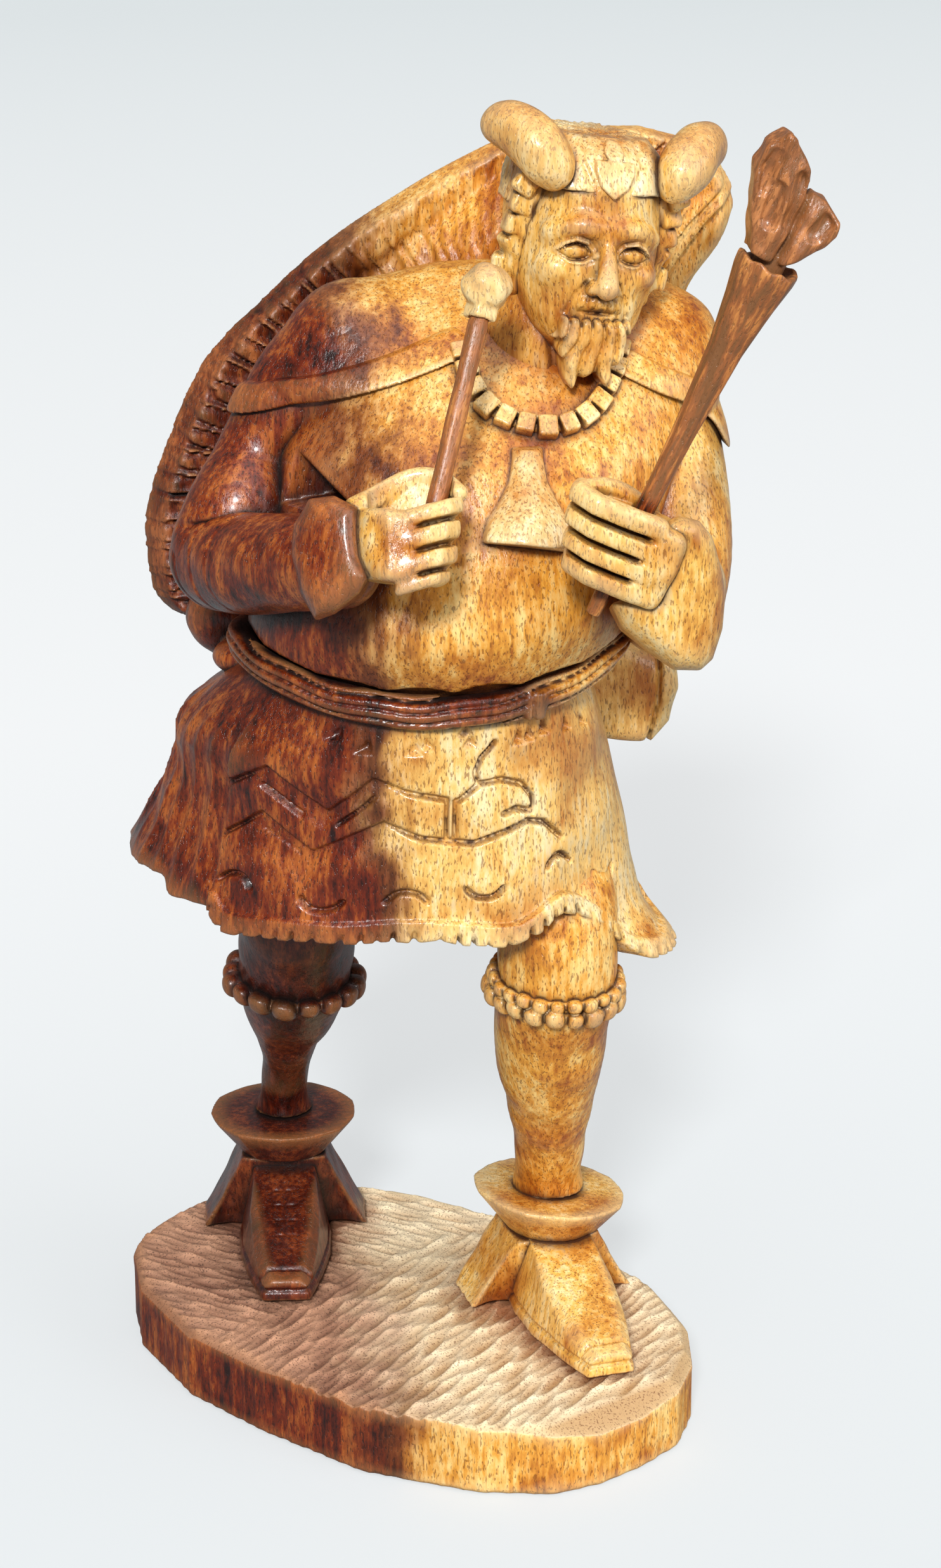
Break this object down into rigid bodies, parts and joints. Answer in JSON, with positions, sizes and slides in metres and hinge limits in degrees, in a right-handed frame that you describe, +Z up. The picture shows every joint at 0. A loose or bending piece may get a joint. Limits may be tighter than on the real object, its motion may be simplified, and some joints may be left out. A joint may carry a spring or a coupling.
{
  "type": "folk art warrior figure",
  "caption": "Carved wooden warrior striding on an oval plinth, with horned headdress, pelt cape and kilt, holding a mallet and a torch that lift out of the fists.",
  "frame": {"origin": "middle of the plinth's underside", "axes": "+Z up; the chest faces -Y; the figure's right side, with the mallet, lies towards -X"},
  "size_m": [0.1423, 0.1502, 0.3049],
  "materials": {
    "heartwood": "lacquered",
    "amber_wood": "lacquered",
    "sapwood": "lacquered",
    "pale_sapwood": "lacquered",
    "torch_wood": "satin"
  },
  "bodies": {
    "figure": {"plinth": "amber_wood", "shoe_right": "heartwood", "gaiter_right": "heartwood", "boot_cuff_right": "heartwood", "leg_right": "heartwood", "garter_right": "heartwood", "upper_arm_right": "heartwood", "forearm_right": "heartwood", "hand_right": "sapwood", "hair_right": "sapwood", "horn_right": "pale_sapwood", "shoe_left": "sapwood", "gaiter_left": "sapwood", "boot_cuff_left": "sapwood", "leg_left": "sapwood", "garter_left": "sapwood", "upper_arm_left": "sapwood", "forearm_left": "sapwood", "hand_left": "sapwood", "hair_left": "sapwood", "horn_left": "pale_sapwood", "sleeve_roll_right": "heartwood", "mantle_band_right": "amber_wood", "mantle_band_left": "sapwood", "skirt": "amber_wood", "torso": "amber_wood", "sash": "amber_wood", "neck": "sapwood", "head": "sapwood", "beard": "sapwood", "headdress": "pale_sapwood", "brow_plate": "pale_sapwood", "necklace": "pale_sapwood", "pendant": "pale_sapwood", "cape": "heartwood", "bundle": "heartwood"},
    "mallet": {"mallet_shaft": "amber_wood", "mallet_head": "sapwood"},
    "torch": {"torch_stem": "torch_wood", "torch_flame": "torch_wood"}
  },
  "joints": [
    {"name": "mallet_slide", "type": "slide", "parent": "figure", "child": "mallet", "axis": [0.285, 0.327, 0.901], "range_m": [0, 0.03]},
    {"name": "torch_slide", "type": "slide", "parent": "figure", "child": "torch", "axis": [0.4051, -0.12, 0.9063], "range_m": [0, 0.04]}
  ]
}
